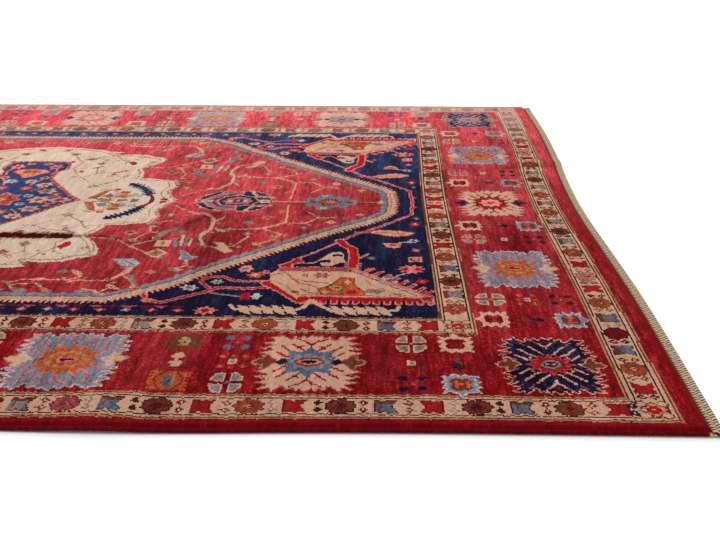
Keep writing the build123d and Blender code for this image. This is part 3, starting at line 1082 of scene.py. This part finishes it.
# %% A mesh from arrays
def make_piece(name, points_mm, quads, colours, material, smooth=False):
    """Points on the flat rug, mm; quads go anticlockwise seen from outside; a linear colour for each quad or corner."""
    points_mm = laid(np.asarray(points_mm, float))
    mesh = bpy.data.meshes.new(name)
    mesh.vertices.add(len(points_mm))
    mesh.vertices.foreach_set("co", (np.asarray(points_mm) / MM).astype(np.float32).ravel())
    mesh.loops.add(quads.size)
    mesh.loops.foreach_set("vertex_index", quads.astype(np.int32).ravel())
    mesh.polygons.add(len(quads))
    mesh.polygons.foreach_set("loop_start", np.arange(0, quads.size, 4, dtype=np.int32))
    mesh.polygons.foreach_set("loop_total", np.full(len(quads), 4, np.int32))
    mesh.update(calc_edges=True)
    if colours.ndim == 2:
        colours = np.repeat(colours[:, None, :], 4, axis=1)
    rgba = np.concatenate([colours, np.ones((*colours.shape[:2], 1))], axis=2).astype(np.float32)
    layer = mesh.color_attributes.new("yarn", "FLOAT_COLOR", "CORNER")
    layer.data.foreach_set("color", rgba.ravel())
    mesh.polygons.foreach_set("use_smooth", np.full(len(quads), smooth))
    mesh.materials.append(material)
    piece = bpy.data.objects.new(name, mesh)
    bpy.context.scene.collection.objects.link(piece)
    return piece


# %% [markdown]
# ## One piece of pile for each part of the design
# The CAD pile is cut into the parts of the design. The knots that stand on one CAD solid make
# one piece here, so the parts stay separate. A knot belongs to a solid when its middle lies in
# one of the triangles of the solid's flat foot.

# %% Which solid each knot stands on
def stands_on(node):
    """True for knots whose middle is on the same side of the three sides of one of the foot's triangles."""
    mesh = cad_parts[node].data
    mesh.calc_loop_triangles()
    corners = np.array([v.co for v in mesh.vertices]) * MM
    tris = corners[np.array([t.vertices for t in mesh.loop_triangles])]
    foot = tris[tris[:, :, 2].max(1) < pile_foot + 0.01][:, :, :2]
    mask = np.zeros(knots.shape, bool)
    for a, b, c in foot:
        low, high = np.min([a, b, c], 0), np.max([a, b, c], 0)
        i0, i1 = np.searchsorted(centre_x[:, 0], (low[0] - 1, high[0] + 1))
        j0, j1 = np.searchsorted(centre_y[0], (low[1] - 1, high[1] + 1))
        x, y = centre_x[i0:i1, j0:j1], centre_y[i0:i1, j0:j1]
        turns = [(q[0] - p[0]) * (y - p[1]) - (q[1] - p[1]) * (x - p[0]) for p, q in ((a, b), (b, c), (c, a))]
        signs = np.array(turns)
        mask[i0:i1, j0:j1] |= (signs >= -1e-3).all(0) | (signs <= 1e-3).all(0)
    return mask


def stand_in(piece, node):
    """The piece lies with the rug and takes the CAD solid's place."""
    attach(piece, "root")
    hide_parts(node)
    return piece


pile_nodes = sorted(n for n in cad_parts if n.startswith("pile_"))
owner = np.full(knots.shape, -1)
for index, node in enumerate(pile_nodes):
    owner[stands_on(node) & (owner < 0)] = index
print("knots with no solid under them:", int((owner < 0).sum()))

# %% [markdown]
# The top of a piece is its knots. Its sides go down to the web, in two steps at the rug's rim,
# where they show, with the tuft leaning out a little, and in one step where a neighbour hides them.

# %% Build the pile
corner_id = np.arange(corner_x.size).reshape(corner_x.shape)
FLANK_LEAN = 2.6, 3.8  # mm, at the long sides and at the ends
FLANK_KNEE = 1.6  # mm, from the foot of a side to where it leans out most


def pile_piece(node, mask):
    """The top is the masked cells; a wall hangs under each side of a cell that has no neighbour in the mask."""
    i, j = np.nonzero(mask)
    top = np.stack([corner_id[i, j], corner_id[i + 1, j], corner_id[i + 1, j + 1], corner_id[i, j + 1]], axis=1)
    colour = knot_colour[i, j]
    padded = np.pad(mask, 1)
    xyz = np.stack([corner_x + move_x, corner_y + move_y, top_z], axis=2).reshape(-1, 3)
    points, quads, colours = [xyz], [top], [colour]
    count = len(xyz)
    for (di, dj), (a, b) in (((0, -1), (0, 1)), ((1, 0), (1, 2)), ((0, 1), (2, 3)), ((-1, 0), (3, 0))):
        open_side = ~padded[i + 1 + di, j + 1 + dj]
        p, q = top[open_side, a], top[open_side, b]
        ids, back = np.unique(np.concatenate([p, q]), return_inverse=True)
        p_new, q_new = np.split(back, 2)
        edge = xyz[ids]
        rim = on_edge.ravel()[ids]
        mid, foot = edge.copy(), edge.copy()
        mid[:, 2], foot[:, 2] = pile_foot + FLANK_KNEE, pile_foot
        out = np.array([di, dj]) * np.where(rim, FLANK_LEAN[abs(di)], 0.0)[:, None]
        mid[:, :2] += out
        foot[:, :2] += out * 0.4
        points += [mid, foot]
        # The sides are painted darker than their knots, as painted shade, and the lower step darker still; their colour
        # is also drawn towards the piece's median.
        shaded_wall_colour = (0.4 * colour[open_side] + 0.6 * np.median(colour, axis=0)) * 0.75
        p_mid, q_mid = count + p_new, count + q_new
        quads += [np.stack([p, p_mid, q_mid, q], axis=1)]
        quads += [np.stack([p_mid, p_mid + len(ids), q_mid + len(ids), q_mid], axis=1)]
        colours += [shaded_wall_colour, shaded_wall_colour * 0.5]
        count += 2 * len(ids)
    points, quads = np.vstack(points), np.vstack(quads)
    used, quads = np.unique(quads, return_inverse=True)
    name = node.replace("pile_", "knots_")
    return stand_in(make_piece(name, points[used], quads.reshape(-1, 4), np.vstack(colours), pile_wool), node)


pile_pieces = [pile_piece(node, owner == index) for index, node in enumerate(pile_nodes)]
print("pile pieces:", len(pile_pieces), "largest", max(len(p.data.polygons) for p in pile_pieces), "faces")

# %% [markdown]
# ## The web and the back
# The cotton web carries the knots, and their backs show on the underside, so the design can be
# read there too, mirrored and a little duller. The underside and the thin rim of the web are
# one open sheet, with its top hidden under the pile.

# %% Foundation with the knot backs
web_low, web_high = box_mm("foundation")
BACK_CELL = 7.2  # mm, the side of a face of the underside, about three knots
web_n = [int(round((web_high[k] - web_low[k]) / BACK_CELL)) for k in (0, 1)]
web_x = np.linspace(web_low[0], web_high[0], web_n[0] + 1)
web_y = np.linspace(web_low[1], web_high[1], web_n[1] + 1)
gx, gy = np.meshgrid(web_x, web_y, indexing="ij")
under = np.stack([gx, gy, np.full(gx.shape, web_low[2])], axis=2).reshape(-1, 3)
ids = np.arange(gx.size).reshape(gx.shape)
faces = np.stack([ids[:-1, :-1], ids[:-1, 1:], ids[1:, 1:], ids[1:, :-1]], axis=2).reshape(-1, 4)
knot_i = np.clip(((gx + pile_x) / KNOT).astype(int), 0, across[0] - 1)
knot_j = np.clip(((gy + pile_y) / KNOT).astype(int), 0, across[1] - 1)
# The backs copy the knot colours, so the painted fold and crease shade and the painted far-side sheen show on the
# underside too.
back_colour = knot_colour[knot_i, knot_j].reshape(-1, 3) * 0.8 + linear((196, 178, 146)) * 0.2
loop = np.concatenate([ids[:-1, 0], ids[-1, :-1], ids[:0:-1, -1], ids[0, :0:-1]])
rim_top = under[loop] + np.array([0, 0, web_high[2] - web_low[2]])
ring = np.arange(len(loop))
rim_faces = np.stack([loop, np.roll(loop, -1), len(under) + np.roll(ring, -1), len(under) + ring], axis=1)
web_cotton = np.tile(linear((188, 172, 142)), (len(rim_faces), 4, 1))
web = make_piece("knot_backs_and_web", np.vstack([under, rim_top]), np.vstack([faces, rim_faces]),
                 np.vstack([back_colour[faces], web_cotton]), cotton, smooth=True)
stand_in(web, "foundation")
print("web:", len(web.data.polygons), "faces")

# %% [markdown]
# ## The selvedges
# Along each long side a bundle of warps is bound round and round with wool, which protects the
# edge. The binding is a tube whose skin swells and dips once for each turn of yarn.

# %% Overcast selvedges
def tube(points, radii_y, radii_z, sides, ripple=None, power=2.0):
    """A closed tube along X, of rounded squares: |cos|^(2/p) and |sin|^(2/p), signed, times the radii and a ripple."""
    angle = np.arange(sides) * 2 * np.pi / sides
    c = np.sign(np.cos(angle)) * np.abs(np.cos(angle)) ** (2 / power)
    s = np.sign(np.sin(angle)) * np.abs(np.sin(angle)) ** (2 / power)
    swell = 0.0 if ripple is None else ripple(points[:, 0][:, None], angle[None, :])
    y = points[:, 1][:, None] + c * (radii_y + swell)
    z = points[:, 2][:, None] + s * (radii_z + swell)
    x = np.broadcast_to(points[:, 0][:, None], y.shape)
    ring_points = np.stack([x, y, z], axis=2).reshape(-1, 3)
    n = len(points)
    ids = np.arange(n * sides).reshape(n, sides)
    nxt = np.roll(ids, -1, axis=1)
    skin = np.stack([ids[:-1], ids[1:], nxt[1:], nxt[:-1]], axis=2)[..., ::-1].reshape(-1, 4)
    k = np.arange(sides // 2 - 1)
    cap = np.stack([k, k + 1, sides - 2 - k, sides - 1 - k], axis=1)
    return ring_points, np.vstack([skin, ids[0][cap[:, ::-1]], ids[-1][cap]])


WRAP = 4.2  # mm of selvedge for one turn of the binding


def wraps(x, angle):
    """One swell for each turn: a rectified sine of half the turn's phase, which the angle skews as a helix."""
    return 0.38 * np.abs(np.sin(np.pi * (x / WRAP + angle / (2 * np.pi)))) - 0.38


def along_box(node, xs, sides, *shape):
    """A tube that fills the box of a CAD node, with its rings at the places xs."""
    low, high = box_mm(node)
    middle, half = (low + high) / 2, (high - low) / 2
    line = np.stack([xs, np.full(xs.shape, middle[1]), np.full(xs.shape, middle[2])], axis=1)
    return tube(line, half[1], half[2], sides, *shape)


for side in ("near", "far"):
    node = f"selvedge_overcasting_{side}"
    low, high = box_mm(node)
    pts, quads = along_box(node, np.arange(low[0] + 0.5, high[0] - 0.4, 1.05), 10, wraps, 2.4)
    turn_number = ((pts[quads[:, 0], 0] - low[0]) / WRAP).astype(int)
    tone = np.random.default_rng(21).uniform(0.75, 1.2, turn_number.max() + 2)[turn_number]
    wool = DYES[INK["wine"]] * tone[:, None]
    stand_in(make_piece(f"selvedge_binding_{side}", pts, quads, wool, binding_wool, True), node)

    node = f"selvedge_warp_bundle_{side}"
    low, high = box_mm(node)
    pts, quads = along_box(node, np.linspace(low[0], high[0], 420), 12)
    bundle = np.tile(linear((214, 202, 176)), (len(quads), 1))
    stand_in(make_piece(f"selvedge_warps_{side}", pts, quads, bundle, cotton, True), node)

# %% [markdown]
# ## The woven ends
# At both ends a narrow strip is woven without knots, to lock them, and the warp ends beyond it
# are plaited into a flat braid. In a braid of five strands each strand swings from side to side
# and dips under its neighbours twice on the way.

# %% Kilim strips
def kilim(end):
    """A closed strip: a grid on top with ribs across, the same outline below, and walls between."""
    node = f"kilim_end_{end}"
    low, high = box_mm(node)
    xs = np.linspace(low[0], high[0], 9)
    ys = np.linspace(low[1], high[1], 850)
    kx, ky = np.meshgrid(xs, ys, indexing="ij")
    rib = 0.35 * (np.arange(len(xs)) % 2)[:, None] + 0.15 * (1 - 2 * (np.arange(len(ys)) % 2))[None, :]
    top = np.stack([kx, ky, high[2] - 0.5 + rib], axis=2).reshape(-1, 3)
    base = np.stack([kx, ky, np.full(kx.shape, low[2])], axis=2).reshape(-1, 3)
    n = kx.size
    g = np.arange(n).reshape(kx.shape)
    up = np.stack([g[:-1, :-1], g[1:, :-1], g[1:, 1:], g[:-1, 1:]], axis=2).reshape(-1, 4)
    down = up[:, ::-1] + n
    rim = np.concatenate([g[:-1, 0], g[-1, :-1], g[:0:-1, -1], g[0, :0:-1]])
    wall = np.stack([rim, n + rim, n + np.roll(rim, -1), np.roll(rim, -1)], axis=1)
    quads = np.vstack([up, down, wall])
    tone = 0.85 + 0.25 * np.random.default_rng(5).random(len(quads))
    weave = linear((196, 164, 124)) * tone[:, None]
    return stand_in(make_piece(f"kilim_strip_{end}", np.vstack([top, base]), quads, weave, cotton), node)


# %% Plaited warp ends
STRANDS = ((208, 188, 158), (72, 54, 40), (200, 178, 146), (188, 164, 132), (62, 46, 36))


def plait(end):
    """Strand k swings as x = a·sin(u) and rises as z = c·sin(2u), with u = t + 2πk/5; a tube follows it."""
    node = f"warp_end_plait_{end}"
    low, high = box_mm(node)
    r_strand = 1.5
    swing = (high[0] - low[0]) / 2 - r_strand - 0.2
    rise = (high[2] - low[2]) / 2 - r_strand
    period, rings = 12.0, 12  # mm for one swing there and back, and the rings of each tube in it
    ys = np.linspace(low[1] + 1.0, high[1] - 1.0, int((high[1] - low[1]) / period * rings))
    points, quads, colours, start = [], [], [], 0
    angle = np.arange(6) * np.pi / 3
    c, s = np.cos(angle)[None, :, None], np.sin(angle)[None, :, None]
    for k, rgb in enumerate(STRANDS):
        t = 2 * np.pi * (ys / period + k / 5)
        cx = (low[0] + high[0]) / 2 + swing * np.sin(t)
        cz = (low[2] + high[2]) / 2 + rise * np.sin(2 * t)
        path = np.stack([cx, ys, cz], axis=1)
        tangent = np.gradient(path, axis=0)
        tangent /= np.linalg.norm(tangent, axis=1, keepdims=True)
        side = np.cross(tangent, (0, 0, 1.0))
        side /= np.linalg.norm(side, axis=1, keepdims=True)
        up = np.cross(side, tangent)
        skin = path[:, None] + r_strand * (c * side[:, None] + s * up[:, None])
        ids = start + np.arange(skin.shape[0] * 6).reshape(skin.shape[0], 6)
        nxt = np.roll(ids, -1, axis=1)
        strand = np.stack([ids[:-1], nxt[:-1], nxt[1:], ids[1:]], axis=2)[..., ::-1].reshape(-1, 4)
        caps = [ids[0][[0, 1, 2, 3]], ids[0][[0, 3, 4, 5]]]
        ends = [ids[-1][[3, 2, 1, 0]], ids[-1][[5, 4, 3, 0]]]
        quads += [strand, np.array(caps), np.array(ends)]
        points.append(skin.reshape(-1, 3))
        total = len(strand) + 4
        tone = 0.86 + 0.22 * np.random.default_rng(40 + k).random(total)
        colours.append(linear(rgb) * tone[:, None])
        start += skin.shape[0] * 6
    braid = np.vstack(points), np.vstack(quads), np.vstack(colours)
    return stand_in(make_piece(f"warp_plait_{end}", *braid, cotton, smooth=True), node)


end_pieces = [make(end) for end in ("left", "right") for make in (kilim, plait)]
print("woven ends:", [(p.name, len(p.data.polygons)) for p in end_pieces])

# %% [markdown]
# ## What the rug is
# The rug is one sheet of cloth laid on the floor, and the web, the pile, the bindings and the ends are
# all parented to one body.

# %% [markdown]
# ## Floor and light
# A white floor and a bright even sky keep the light soft. A large lamp beyond the far side
# grazes the pile towards the camera, and a softer one above fills the near half.

# %% Floor, sky and lamps
floor_mesh = bpy.data.meshes.new("floor")
FLOOR_Z = -0.0004  # m, a hair under the rug
corners = [(x, y, FLOOR_Z) for x, y in ((-30, -30), (30, -30), (30, 30), (-30, 30))]
floor_mesh.from_pydata(corners, [], [(0, 1, 2, 3)])
floor = bpy.data.objects.new("floor", floor_mesh)
bpy.context.scene.collection.objects.link(floor)
floor_paint = bpy.data.materials.new("floor_paint")
floor_paint.use_nodes = True
set_inputs(floor_paint.node_tree.nodes["Principled BSDF"], Base_Color=(0.93, 0.93, 0.93, 1), Roughness=0.9)
floor_mesh.materials.append(floor_paint)

sky = bpy.data.worlds.new("sky")
bpy.context.scene.world = sky
sky.use_nodes = True
set_inputs(sky.node_tree.nodes["Background"], Color=(1.0, 1.0, 1.0, 1), Strength=0.62)


def lamp(name, location, aim, size, power):
    data = bpy.data.lights.new(name, "AREA")
    data.shape, data.size, data.size_y, data.energy = "RECTANGLE", size[0], size[1], power
    light = bpy.data.objects.new(name, data)
    light.location = location
    light.rotation_euler = (Vector(aim) - Vector(location)).to_track_quat("-Z", "Y").to_euler()
    bpy.context.scene.collection.objects.link(light)


lamp("window", (0.2, 3.6, 2.4), (0.3, 0.3, 0.0), (4.0, 2.0), 110.0)
lamp("ceiling", (0.5, -0.4, 3.2), (0.5, 0.0, 0.0), (3.5, 3.0), 60.0)
bpy.context.scene.view_settings.view_transform = "Standard"
